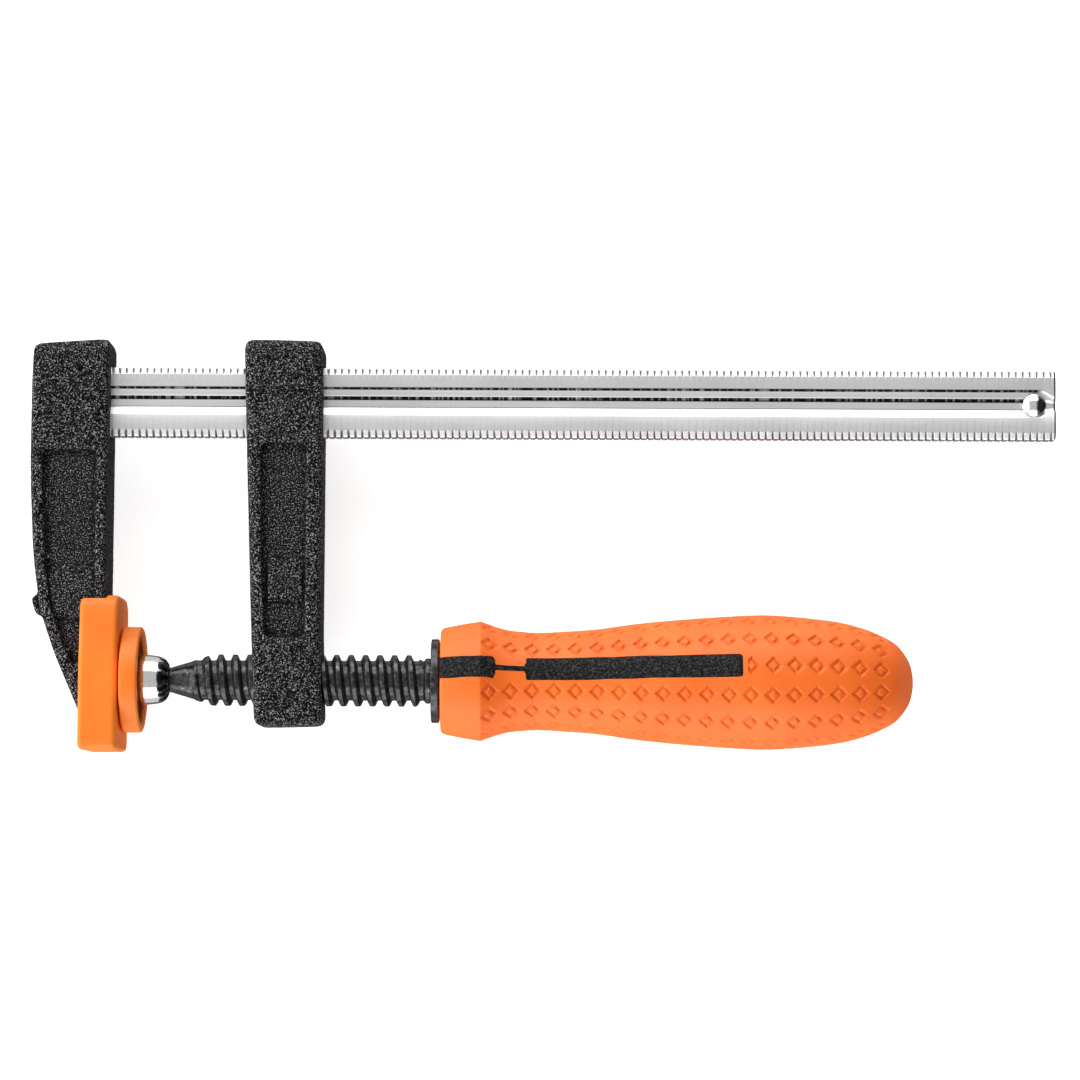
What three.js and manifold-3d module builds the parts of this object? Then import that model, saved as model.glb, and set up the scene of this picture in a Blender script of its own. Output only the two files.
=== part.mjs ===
// A small F clamp with a 50 mm throat and a 145 mm opening, lying on its side. Millimetres.
// X runs along the bar away from the fixed jaw, Y from the spindle to the bar, Z through the
// thickness. The drawing's zero is on the spindle's axis, just behind the fixed pad's pressing
// face. The last group moves the whole clamp onto z = 0, centred over the origin.
import * as THREE from "three";
import { mergeVertices } from "three/addons/utils/BufferGeometryUtils.js";
import Module from "manifold-3d";

const wasm = await Module();
wasm.setup();

// Driving dimensions
const GAP = 0.3; // between pieces that rest on each other
const THROAT = 50.7; // spindle axis to the bar's near edge
const BAR_WIDTH = 14.5;
const BAR_THICK = 5;
const BAR_START = -13.5;
const BAR_END = 194.5;
const JAW_THICK = 14;
const JAW_FACE = -2.4; // the fixed jaw's inner side
const CAP_FACE = 0.6; // the fixed pad's pressing face
const PAD_FACE = 1; // the swivel pad's pressing face, nearly closed on the fixed pad
const BALL_X = 7.55;
const BALL_R = 3.75;
const PITCH = 3;
const THREAD_R = 5.35;
const ROOT_R = 4.12;
const THREAD_START = 15.9;
const THREAD_END = 63.1;
const HANDLE_START = 66.7;
const HANDLE_END = 164.6;
const HANDLE_R = 13.95;
const MIDDLE = new THREE.Vector3(88, 28.05, -HANDLE_R);

const BAR_MIDDLE = THROAT + BAR_WIDTH / 2;
const BAR_TOP = THROAT + BAR_WIDTH;

// Materials
function material(color, roughness, metalness) {
  return new THREE.MeshStandardMaterial({ color, roughness, metalness });
}
const plated = material("#b9bcc0", 0.25, 1);
const casting = material("#26282b", 0.6, 0.3);
const blackSteel = material("#303236", 0.4, 0.7);
const zinc = material("#a9a8b4", 0.45, 0.9);
const orange = material("#ff7f42", 0.45, 0);
const blackRubber = material("#1f2022", 0.8, 0);

// Joining and cutting
function solid(geometry) {
  const bare = geometry.clone();
  bare.deleteAttribute("normal");
  bare.deleteAttribute("uv");
  const merged = mergeVertices(bare, 1e-4);
  const corners = merged.index.array;
  const kept = [];
  for (let i = 0; i < corners.length; i += 3) {
    const [a, b, c] = [corners[i], corners[i + 1], corners[i + 2]];
    if (a !== b && b !== c && c !== a) kept.push(a, b, c);
  }
  const vertProperties = new Float32Array(merged.attributes.position.array);
  const triVerts = new Uint32Array(kept);
  return new wasm.Manifold(new wasm.Mesh({ numProp: 3, vertProperties, triVerts }));
}

function piece(name, body, look) {
  const { vertProperties, triVerts } = body.getMesh();
  const geometry = new THREE.BufferGeometry();
  geometry.setAttribute("position", new THREE.BufferAttribute(vertProperties, 3));
  geometry.setIndex(new THREE.BufferAttribute(triVerts, 1));
  const mesh = new THREE.Mesh(geometry.toNonIndexed(), look);
  mesh.geometry.computeVertexNormals();
  mesh.name = name;
  return mesh;
}

// Basic forms
const X_FROM_Z = new THREE.Matrix4().makeBasis(
  new THREE.Vector3(0, 1, 0),
  new THREE.Vector3(0, 0, 1),
  new THREE.Vector3(1, 0, 0),
);

// An outline in XY, with its middle on z = 0 and its long edges rounded inward by `edge`.
function slab(outline, thickness, edge = 0, curveSegments = 4) {
  const geometry = new THREE.ExtrudeGeometry(outline, {
    depth: thickness - 2 * edge,
    bevelEnabled: edge > 0,
    bevelThickness: edge,
    bevelSize: edge,
    bevelOffset: -edge,
    bevelSegments: 3,
    curveSegments,
  });
  return solid(geometry.translate(0, 0, edge - thickness / 2));
}

// A section in YZ run along X from `from` to `to`.
function runAlongX(section, from, to, curveSegments = 4) {
  const options = { depth: to - from, bevelEnabled: false, curveSegments };
  const geometry = new THREE.ExtrudeGeometry(section, options);
  return solid(geometry.applyMatrix4(X_FROM_Z).translate(from, 0, 0));
}

function box(low, high) {
  const size = high.map((value, i) => value - low[i]);
  const geometry = new THREE.BoxGeometry(...size);
  return solid(geometry.translate(...low.map((value, i) => value + size[i] / 2)));
}

// A profile of [x, radius] points turned about the X axis; it starts and ends on the axis or closes.
function turned(profile, segments = 36) {
  const points = profile.map(([x, r]) => new THREE.Vector2(r, x));
  return solid(new THREE.LatheGeometry(points, segments).rotateZ(-Math.PI / 2));
}

function rod(from, to, radius, segments = 24) {
  return turned([[from, 0], [from, radius], [to, radius], [to, 0]], segments);
}

// A polygon whose corners, given as [x, y, radius], are rounded by a curve at each.
function softPolygon(corners) {
  const shape = new THREE.Shape();
  const count = corners.length;
  corners.forEach(([x, y, radius = 0], i) => {
    const corner = new THREE.Vector2(x, y);
    const before = new THREE.Vector2(...corners[(i + count - 1) % count]).sub(corner);
    const after = new THREE.Vector2(...corners[(i + 1) % count]).sub(corner);
    const enter = before.setLength(radius).add(corner);
    const leave = after.setLength(radius).add(corner);
    if (i === 0) shape.moveTo(enter.x, enter.y);
    else shape.lineTo(enter.x, enter.y);
    if (radius > 0) shape.quadraticCurveTo(x, y, leave.x, leave.y);
  });
  return shape;
}

// The bar: a flat steel section with a trapezoid groove in both faces and chamfered edges.
const GROOVE_WIDTH = 5.8;
const GROOVE_FLOOR = 2;
const GROOVE_DEPTH = 1;
const BAR_CHAMFER = 1.4;
const BAR_CHAMFER_DEPTH = 0.7;
const STOP_X = 190;
const STOP_R = 2.45;

function barSection(grow) {
  const half = BAR_WIDTH / 2 + grow;
  const face = BAR_THICK / 2 + grow;
  const edge = face - BAR_CHAMFER_DEPTH;
  const oneFace = [
    [half, edge],
    [half - BAR_CHAMFER, face],
    [GROOVE_WIDTH / 2, face],
    [GROOVE_FLOOR / 2, face - GROOVE_DEPTH],
  ];
  const upper = [...oneFace, ...oneFace.map(([y, z]) => [-y, z]).reverse()];
  const lower = upper.map(([y, z]) => [-y, -z]);
  return softPolygon([...upper, ...lower].map(([y, z]) => [y + BAR_MIDDLE, z]));
}

function bar() {
  const stopHole = new THREE.Shape().absarc(STOP_X, BAR_MIDDLE, STOP_R + GAP, 0, 2 * Math.PI);
  return runAlongX(barSection(0), BAR_START, BAR_END).subtract(slab(stopHole, 2 * BAR_THICK, 0, 24));
}

// The stop pin, pressed through the bar, domed at both ends so that the arm can't slide off.
const STOP_STAND = 1.3;
const STOP_DOME = 0.7;

function stopPin() {
  const top = BAR_THICK / 2 + STOP_STAND;
  const outline = [[STOP_R, top - STOP_DOME], [STOP_R * 0.75, top - STOP_DOME * 0.3], [0, top]];
  const points = [...outline.map(([r, z]) => [r, -z]).reverse(), ...outline];
  const profile = points.map(([r, z]) => new THREE.Vector2(r, z));
  const geometry = new THREE.LatheGeometry(profile, 24).rotateX(Math.PI / 2);
  return solid(geometry.translate(STOP_X, BAR_MIDDLE, 0));
}

// A section in YZ that rounds a casting's top and bottom through its thickness.
function crown(bottom, top, bottomR, topR) {
  const half = JAW_THICK / 2;
  return softPolygon([
    [bottom, -half, bottomR],
    [top, -half, topR],
    [top, half, topR],
    [bottom, half, bottomR],
  ]);
}

// The fixed jaw: a casting on the bar's end, with a foot for the pad and a recess in both sides.
const JAW_TOP = 71;
const FOOT_BOTTOM = -12.4;
const FOOT_THICK = 3.7;
const RECESS_DEPTH = 1.3;
const RECESS_FILLET = 1.1;
const HUMP_HEIGHT = 0.8;
const HUMP_SLOPE = 3;

function fixedJawOutline(grow) {
  const back = JAW_FACE - FOOT_THICK - grow;
  return softPolygon([
    [JAW_FACE + grow, FOOT_BOTTOM - grow],
    [JAW_FACE + grow, JAW_TOP, 1.8],
    [-18.2, 69.6, 1.8],
    [-18.5, 62, 3],
    [-18.5 - grow, 42, 4],
    [-17.6 - grow, 25, 4],
    [-16 - grow, 14, 3],
    [-13 - grow, 5.3, 2],
    [back, -10.6],
    [back, FOOT_BOTTOM - grow],
  ]);
}

// The blunt heel on the jaw's back, above the pad.
function jawHeel() {
  return softPolygon([
    [-14, 18],
    [-16.4, 17.8],
    [-17.9, 16.4, 0.6],
    [-17, 13.4, 0.6],
    [-14, 11.6],
  ]);
}

function fixedJaw() {
  const recess = softPolygon([
    [-6, 2.8, 1.4],
    [-4.6, 18, 2],
    [-4.6, 47.5, 1.6],
    [-15.9, 47.5, 1.6],
    [-15.8, 38, 2],
    [-15, 24, 2],
    [-13.7, 14, 1.6],
    [-9.3, 2.8, 1.4],
  ]);
  const body = slab(fixedJawOutline(0), JAW_THICK, 1.1)
    .intersect(runAlongX(crown(FOOT_BOTTOM, JAW_TOP, 1, 5), -20, 0))
    .add(slab(jawHeel(), JAW_THICK - 2.4))
    .subtract(runAlongX(barSection(GAP), BAR_START - GAP, 0));
  return sinkBothSides(body, recess).add(runAlongX(hump(13, 23.4), -14, -5));
}

// Sinks `recess` into both sides of a casting, with a fillet round its floor.
function sinkBothSides(body, recess) {
  const tool = slab(recess, 2 * RECESS_DEPTH, RECESS_FILLET);
  const side = JAW_THICK / 2;
  return body.subtract(tool.translate([0, 0, side])).subtract(tool.translate([0, 0, -side]));
}

// A section in YZ through a casting's web, with a low hump on both sides that slopes off upward.
function hump(bottom, top) {
  const floor = JAW_THICK / 2 - RECESS_DEPTH;
  const crest = floor + HUMP_HEIGHT;
  const oneSide = [[bottom - HUMP_HEIGHT, floor], [bottom, crest], [top - HUMP_SLOPE, crest], [top, floor]];
  return softPolygon([...oneSide, ...oneSide.map(([y, z]) => [y, -z]).reverse()]);
}

// The fixed pad: a plastic cap that snaps round the jaw's foot.
const CAP_BACK = -7.4;
const CAP_BOTTOM = -14.8;
const CAP_TOP = 17.2;
const CAP_HALF = 10;
const CAP_TOP_HALF = 8.6;
const CAP_SHOULDER = 4; // where the cap starts to narrow

function fixedPadCap() {
  const face = softPolygon([
    [CAP_BOTTOM, -CAP_HALF, 2],
    [CAP_SHOULDER, -CAP_HALF, 2],
    [CAP_TOP, -CAP_TOP_HALF, 3.6],
    [CAP_TOP, CAP_TOP_HALF, 3.6],
    [CAP_SHOULDER, CAP_HALF, 2],
    [CAP_BOTTOM, CAP_HALF, 2],
  ]);
  const outer = slab(face, CAP_FACE - CAP_BACK, 0.9)
    .transform(X_FROM_Z.elements)
    .translate([(CAP_FACE + CAP_BACK) / 2, 0, 0]);
  return outer.subtract(slab(fixedJawOutline(GAP), JAW_THICK + 2 * GAP));
}

// The screw thread: a ridge swept along a helix, trimmed by a tapered envelope at both ends.
const THREAD_STEPS = 20; // per turn
const CREST = 1;
const BASE = 2.1;

function threadRidge(from, to, grow) {
  const rows = [
    [-BASE / 2 - grow, ROOT_R - 0.4],
    [-BASE / 2 - grow, ROOT_R + grow],
    [-CREST / 2 - grow, THREAD_R + grow],
    [CREST / 2 + grow, THREAD_R + grow],
    [BASE / 2 + grow, ROOT_R + grow],
    [BASE / 2 + grow, ROOT_R - 0.4],
  ];
  const first = Math.floor((from / PITCH - 1) * THREAD_STEPS);
  const last = Math.ceil((to / PITCH + 1) * THREAD_STEPS);
  const positions = [];
  const faces = [];
  for (let step = first; step <= last; step++) {
    const angle = (step / THREAD_STEPS) * 2 * Math.PI;
    const x = (step / THREAD_STEPS) * PITCH;
    for (const [along, r] of rows) positions.push(x + along, r * Math.cos(angle), r * Math.sin(angle));
  }
  const count = rows.length;
  for (let step = 0; step < last - first; step++) {
    for (let i = 0; i < count; i++) {
      const a = step * count + i;
      const b = step * count + ((i + 1) % count);
      faces.push(a, a + count, b, b, a + count, b + count);
    }
  }
  const end = (last - first) * count;
  for (let i = 1; i < count - 1; i++) faces.push(0, i, i + 1, end, end + i + 1, end + i);
  const geometry = new THREE.BufferGeometry();
  geometry.setAttribute("position", new THREE.Float32BufferAttribute(positions, 3));
  geometry.setIndex(faces);
  return solid(geometry);
}

// The spindle: ball end, neck, thread, shank and the square tang inside the handle.
const NECK_R = 2.7;
const SHANK_R = 4.7;
const COLLAR_START = 64.7;
const COLLAR_END = 66.4;
const COLLAR_R = 8.7;
const COLLAR_SEAT_R = 4.1;
const TANG = 5.6;
const TANG_END = 104;

function ballArc(steps) {
  const neckAngle = Math.asin(NECK_R / BALL_R);
  return Array.from({ length: steps + 1 }, (_, i) => {
    const angle = Math.PI - (i / steps) * (Math.PI - neckAngle);
    return [BALL_X + BALL_R * Math.cos(angle), BALL_R * Math.max(0, Math.sin(angle))];
  });
}

function spindle() {
  const core = turned([
    ...ballArc(9),
    [10.6, NECK_R],
    [THREAD_START, ROOT_R],
    [THREAD_END, ROOT_R],
    [THREAD_END + 0.4, SHANK_R],
    [COLLAR_START - GAP, SHANK_R],
    [COLLAR_START - GAP, COLLAR_SEAT_R],
    [HANDLE_START + 2, COLLAR_SEAT_R],
    [HANDLE_START + 2, 0],
  ], THREAD_STEPS);
  const taper = THREAD_R - ROOT_R + 0.4;
  const envelope = turned([
    [THREAD_START - 0.5, 0],
    [THREAD_START - 0.5, ROOT_R - 0.2],
    [THREAD_START + taper, THREAD_R + 1],
    [THREAD_END - taper, THREAD_R + 1],
    [THREAD_END + 0.2, ROOT_R - 0.2],
    [THREAD_END + 0.2, 0],
  ], THREAD_STEPS);
  const thread = threadRidge(THREAD_START, THREAD_END, 0).intersect(envelope);
  const half = TANG / 2;
  const tang = box([HANDLE_START, -half, -half], [TANG_END, half, half]);
  return core.add(thread).add(tang);
}

// The swivel pad: a cup crimped round the ball, the disc it stands on and a plastic cap.
const SOCKET_R = 5.15;
const SOCKET_FRONT = 3.65;
const SOCKET_MOUTH = 10.3;
const DISC_FRONT = 2.1;
const DISC_BACK = 3.35;
const DISC_R = 9.75;
const PAD_R = 10.95;
const PAD_BACK = 4.75;
const LIP_R = 9.05;

function swivelSocket() {
  const hollow = BALL_R + GAP;
  const mouth = NECK_R + 0.6;
  const mouthAngle = Math.asin(mouth / hollow);
  const inside = Array.from({ length: 6 }, (_, i) => {
    const angle = mouthAngle + (i / 5) * (Math.PI / 2 - mouthAngle);
    return [BALL_X + hollow * Math.cos(angle), hollow * Math.sin(angle)];
  });
  return turned([
    [SOCKET_FRONT, hollow],
    [SOCKET_FRONT, SOCKET_R],
    [6.4, SOCKET_R],
    [8.4, 4.75],
    [9.4, 4.3],
    [SOCKET_MOUTH, 3.6],
    ...inside,
    [SOCKET_FRONT, hollow],
  ]);
}

function pressureDisc() {
  return rod(DISC_FRONT, DISC_BACK, DISC_R, 36);
}

function swivelPadCap() {
  const round = 0.8;
  return turned([
    [PAD_FACE, 0],
    [PAD_FACE, PAD_R - round],
    [PAD_FACE + 0.25, PAD_R - 0.25],
    [PAD_FACE + round, PAD_R],
    [PAD_BACK - 0.4, PAD_R],
    [PAD_BACK, PAD_R - 0.4],
    [PAD_BACK, LIP_R],
    [DISC_BACK + GAP, LIP_R],
    [DISC_BACK + GAP, DISC_R + GAP],
    [DISC_FRONT - GAP, DISC_R + GAP],
    [DISC_FRONT - GAP, 0],
  ]);
}

// The sliding arm: a casting with a slot for the bar and a threaded boss for the spindle.
const ARM_TOP = 71;
const ARM_BOTTOM = -9.8;
const SLOT_PLAY = 0.4;
const THREAD_PLAY = 0.32;

function slidingArm() {
  const outline = softPolygon([
    [28.4, ARM_BOTTOM, 2.2],
    [42.6, ARM_BOTTOM + 0.4, 2],
    [42.4, -4, 2],
    [42, 9, 2],
    [42, 50, 2],
    [41.9, ARM_TOP - 0.6, 2],
    [25.5, ARM_TOP, 2.6],
    [25.8, 60, 3],
    [27.3, 17, 4],
  ]);
  const recess = softPolygon([
    [30.3, 8.4, 1.6],
    [38.8, 8.4, 1.6],
    [38.8, 48.9, 1.6],
    [29.2, 48.9, 1.6],
    [29.5, 28, 3],
  ]);
  const body = slab(outline, JAW_THICK, 1.4)
    .intersect(runAlongX(crown(ARM_BOTTOM, ARM_TOP, 3, 4.5), 20, 50))
    .subtract(runAlongX(barSection(SLOT_PLAY), 20, 50))
    .subtract(rod(20, 50, ROOT_R + THREAD_PLAY, THREAD_STEPS))
    .subtract(threadRidge(26, 44, THREAD_PLAY));
  return sinkBothSides(body, recess).add(runAlongX(hump(16.6, 25.2), 31, 38));
}

// The handle: a turned plastic grip with a socket for the tang and two soft inlays.
const HANDLE_PROFILE = [
  [66.7, 10.5],
  [67.3, 10.95],
  [75, 12.4],
  [76.7, 11.8],
  [78.8, 11],
  [81.3, 10.5],
  [86.3, 10.1],
  [91.3, 10.3],
  [98.8, 10.85],
  [106.3, 11.9],
  [113.8, 12.7],
  [121.3, 13.3],
  [128.8, 13.8],
  [134, HANDLE_R],
  [141.3, 13.5],
  [148.8, 12.6],
  [153.8, 11.5],
  [157.9, 9.9],
  [161.1, 8],
  [163.4, 5],
  [164.3, 2.4],
];
const INLAY_DEPTH = 1.4;
const INLAY_ANGLES = [12, 192]; // degrees from +Z towards +Y

// The turned form, smaller all round by `inset`, or larger where that is negative.
function handleForm(inset) {
  const start = HANDLE_START + Math.min(inset, 0);
  const outside = HANDLE_PROFILE.map(([x, r]) => [x, r - inset]);
  return turned([[start, 0], [start, outside[0][1]], ...outside.slice(1), [HANDLE_END - inset, 0]], 36);
}

// The inlay's outline: a head band, a narrow straight link and a long plate.
function inlayOutline(grow) {
  const band = 2.35 + grow;
  const link = 0.6 + grow;
  const plate = 2.45 + grow;
  const bandEnd = 77.9 + grow;
  const plateStart = 84.4 - grow;
  const plateEnd = 129.2 + grow;
  return softPolygon([
    [HANDLE_START - 2, -band],
    [bandEnd, -band],
    [bandEnd, -link],
    [plateStart, -link],
    [plateStart, -plate],
    [plateEnd, -plate, 0.8],
    [plateEnd, plate, 0.8],
    [plateStart, plate],
    [plateStart, link],
    [bandEnd, link],
    [bandEnd, band],
    [HANDLE_START - 2, band],
  ]);
}

function inlayPrism(grow, degrees) {
  const geometry = new THREE.ExtrudeGeometry(inlayOutline(grow), { depth: 20, bevelEnabled: false });
  return solid(geometry.rotateX(THREE.MathUtils.degToRad(-degrees)));
}

function handle() {
  const hole = TANG / 2 + GAP;
  const tangHole = box([HANDLE_START - 1, -hole, -hole], [TANG_END + GAP, hole, hole]);
  const mouth = rod(HANDLE_START - 1, HANDLE_START + 2 + GAP, COLLAR_SEAT_R + GAP);
  const skin = handleForm(-1).subtract(handleForm(INLAY_DEPTH + GAP));
  return INLAY_ANGLES.reduce(
    (body, angle) => body.subtract(skin.intersect(inlayPrism(GAP, angle))),
    handleForm(0).subtract(tangHole).subtract(mouth),
  );
}

function handleInlay(angle) {
  return handleForm(0).subtract(handleForm(INLAY_DEPTH)).intersect(inlayPrism(0, angle));
}

// The loose ring between the spindle's shoulder and the handle.
function handleCollar() {
  const inner = COLLAR_SEAT_R + GAP;
  return turned([
    [COLLAR_START, inner],
    [COLLAR_START, COLLAR_R - 0.3],
    [COLLAR_START + 0.3, COLLAR_R],
    [COLLAR_END - 0.3, COLLAR_R],
    [COLLAR_END, COLLAR_R - 0.3],
    [COLLAR_END, inner],
    [COLLAR_START, inner],
  ]);
}

// The scene graph, grouped by what moves together
const fixedFrame = new THREE.Group();
fixedFrame.add(piece("bar", bar(), plated));
fixedFrame.add(piece("stop_pin", stopPin(), plated));
fixedFrame.add(piece("fixed_jaw", fixedJaw(), casting));
fixedFrame.add(piece("fixed_pad_cap", fixedPadCap(), orange));

const swivelPad = new THREE.Group();
swivelPad.add(piece("swivel_socket", swivelSocket(), plated));
swivelPad.add(piece("pressure_disc", pressureDisc(), zinc));
swivelPad.add(piece("swivel_pad_cap", swivelPadCap(), orange));

const screw = new THREE.Group();
screw.add(piece("spindle", spindle(), blackSteel));
screw.add(piece("handle", handle(), orange));
INLAY_ANGLES.forEach((angle, i) => {
  screw.add(piece(`handle_inlay_${i + 1}`, handleInlay(angle), blackRubber));
});

const slider = new THREE.Group();
slider.add(piece("sliding_arm", slidingArm(), casting));
slider.add(piece("handle_collar", handleCollar(), blackSteel));
slider.add(swivelPad);
slider.add(screw);

const clamp = new THREE.Group();
clamp.add(fixedFrame);
clamp.add(slider);
clamp.position.copy(MIDDLE).negate();

const part = new THREE.Group();
part.add(clamp);

export default part;
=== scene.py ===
"""The looks of a small F clamp lying on its side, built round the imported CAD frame.

Shapes are drawn in millimetres from a datum on the spindle's axis, just behind the fixed pad's
pressing face. X runs along the bar, Y from the spindle to the bar and Z up through the thickness.
"""
import math

import bmesh
import bpy
import numpy as np
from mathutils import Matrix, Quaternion, Vector, noise


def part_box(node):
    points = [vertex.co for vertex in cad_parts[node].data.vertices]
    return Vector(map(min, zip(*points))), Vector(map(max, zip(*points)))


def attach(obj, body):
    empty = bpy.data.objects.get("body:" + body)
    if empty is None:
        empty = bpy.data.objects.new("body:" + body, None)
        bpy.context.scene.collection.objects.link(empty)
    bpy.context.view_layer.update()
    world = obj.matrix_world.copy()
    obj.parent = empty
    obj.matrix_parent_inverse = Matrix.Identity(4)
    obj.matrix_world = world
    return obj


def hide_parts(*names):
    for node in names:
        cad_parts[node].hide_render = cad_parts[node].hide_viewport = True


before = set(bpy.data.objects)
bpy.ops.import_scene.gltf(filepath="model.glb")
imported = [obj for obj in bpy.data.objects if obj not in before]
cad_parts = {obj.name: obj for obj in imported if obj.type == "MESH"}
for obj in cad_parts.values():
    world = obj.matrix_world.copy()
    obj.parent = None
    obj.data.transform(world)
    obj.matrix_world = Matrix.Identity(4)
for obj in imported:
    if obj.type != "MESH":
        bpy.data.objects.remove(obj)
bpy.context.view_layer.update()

MM = 0.001
SCENE = bpy.context.scene
TAU = 2 * math.pi
AXIS_GAP = 0.02  # radius at which a turned body is closed where it meets its axis

# ---------------------------------------------------------------- the datum and the main sizes
pad_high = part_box("fixed_pad_cap")[1]
spindle_low, spindle_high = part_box("spindle")
bar_low, bar_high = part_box("bar")
spindle_middle = (spindle_low + spindle_high) / 2
PRESSING_FACE = 0.6  # how far the fixed pad stands past the datum
DATUM = Vector((pad_high.x - PRESSING_FACE * MM, spindle_middle.y, spindle_middle.z))


def drawn(point):
    """A point of the frame, in millimetres from the datum."""
    return (point - DATUM) / MM


BAR_START, BAR_NEAR = drawn(bar_low)[:2]
BAR_END, BAR_FAR = drawn(bar_high)[:2]
BAR_MIDDLE = (BAR_NEAR + BAR_FAR) / 2
BAR_HALF = (BAR_FAR - BAR_NEAR) / 2
BAR_FACE = drawn(bar_high).z
HANDLE_START = drawn(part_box("handle")[0]).x


# ---------------------------------------------------------------- meshes
def add_piece(name, points, faces, look, body, slot, stands_for, crease=40, painted_shade=None):
    """Makes a piece from points in millimetres from the datum and puts it on its body.

    Its last argument gives how much painted shade darkens each point, for looks that show it.
    """
    mesh = bpy.data.meshes.new(name)
    mesh.from_pydata((np.asarray(points) * MM + np.array(DATUM)).tolist(), [], faces)
    if painted_shade is not None:
        mesh.attributes.new("painted_shade", "FLOAT", "POINT").data.foreach_set("value", np.ravel(painted_shade))
    place_piece(name, mesh, look, body, stands_for, crease)


def place_piece(name, mesh, look, body, stands_for, crease):
    """Puts a finished mesh on its body, in place of the CAD node that it stands for."""
    shell = bmesh.new()
    shell.from_mesh(mesh)
    bmesh.ops.recalc_face_normals(shell, faces=shell.faces)
    shell.to_mesh(mesh)
    shell.free()
    mesh.materials.clear()
    mesh.materials.append(look)
    mesh.shade_smooth()
    mesh.set_sharp_from_angle(angle=math.radians(crease))
    piece = bpy.data.objects.new(name, mesh)
    SCENE.collection.objects.link(piece)
    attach(piece, body)
    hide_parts(stands_for)


def grid_faces(rows, columns):
    """Quads of a grid whose columns close on themselves, as on a turned or swept form."""
    first = np.arange(rows - 1)[:, None] * columns
    here = np.arange(columns)[None, :]
    there = (here + 1) % columns
    quads = np.stack([first + here, first + there, first + columns + there, first + columns + here], -1)
    return quads.reshape(-1, 4).tolist()


def swept(rows):
    """A closed body from an array of loops [row, column, xyz], its two ends filled."""
    count, columns = rows.shape[:2]
    faces = grid_faces(count, columns)
    last = (count - 1) * columns
    faces.append(list(range(columns)))
    faces.append(list(range(last, last + columns)))
    return rows.reshape(-1, 3), faces


def turned_rows(x, radius, segments):
    """Loops round the spindle's axis; radius is one value for each x, or an array [x, segment]."""
    angle = np.arange(segments) / segments * TAU
    x = np.asarray(x, float)
    radius = np.asarray(radius, float)
    if radius.ndim == 1:
        radius = np.repeat(radius[:, None], segments, 1)
    along = np.repeat(x[:, None], segments, 1)
    return np.stack([along, radius * np.cos(angle), radius * np.sin(angle)], -1)


def turned(profile, segments=128):
    """A body turned from [x, radius] points that start and end near the axis."""
    profile = np.asarray(profile, float)
    return swept(turned_rows(profile[:, 0], profile[:, 1], segments))


def ring_faces(count, segments):
    """Quads of a ring whose section is a closed loop of `count` points."""
    faces = np.asarray(grid_faces(count + 1, segments)) % (count * segments)
    return faces.tolist()


def turned_ring(profile, segments=128):
    """A ring turned from a closed loop of [x, radius] points."""
    profile = np.asarray(profile, float)
    rows = turned_rows(profile[:, 0], profile[:, 1], segments)
    return rows.reshape(-1, 3), ring_faces(len(profile), segments)


CORNER_SHARE = 0.48  # of a side, the most that the curve of one corner takes up


def rounded(corners, radius, closed=False, steps=5):
    """The outline with each corner eased by a curve that starts `radius` from it."""
    corners = [np.asarray(c, float) for c in corners]
    count = len(corners)
    outline = []
    for i, corner in enumerate(corners):
        if not closed and i in (0, count - 1):
            outline.append(corner)
            continue
        before = corners[i - 1] - corner
        after = corners[(i + 1) % count] - corner
        enter = corner + before * min(radius / np.linalg.norm(before), CORNER_SHARE)
        leave = corner + after * min(radius / np.linalg.norm(after), CORNER_SHARE)
        for t in np.linspace(0, 1, steps):
            outline.append((1 - t) ** 2 * enter + 2 * t * (1 - t) * corner + t * t * leave)
    return outline


def smooth_curve(points, step, fineness=24):
    """A Catmull-Rom curve through the points, resampled evenly."""
    p = np.asarray(points, float)
    p = np.vstack([2 * p[0] - p[1], p, 2 * p[-1] - p[-2]])
    t = np.linspace(0, 1, fineness, endpoint=False)[:, None]
    spans = []
    for a, b, c, d in zip(p[:-3], p[1:-2], p[2:-1], p[3:]):
        spans.append(b + 0.5 * t * (c - a + t * (2 * a - 5 * b + 4 * c - d + t * (3 * (b - c) + d - a))))
    dense = np.vstack(spans + [p[-2:-1]])
    run = np.concatenate([[0], np.cumsum(np.linalg.norm(np.diff(dense, axis=0), axis=1))])
    even = np.linspace(0, run[-1], max(2, round(run[-1] / step)))
    return np.stack([np.interp(even, run, dense[:, i]) for i in range(2)], 1)


def smoothstep(low, high, value):
    """From 0 at `low` to 1 at `high`, eased at both."""
    t = np.clip((value - low) / (high - low), 0, 1)
    return t * t * (3 - 2 * t)


# ---------------------------------------------------------------- materials
# Near-black for painted shade, used on the bar, the cup and the castings.
SHADE_BLACK = (0.004, 0.004, 0.004, 1)


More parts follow.
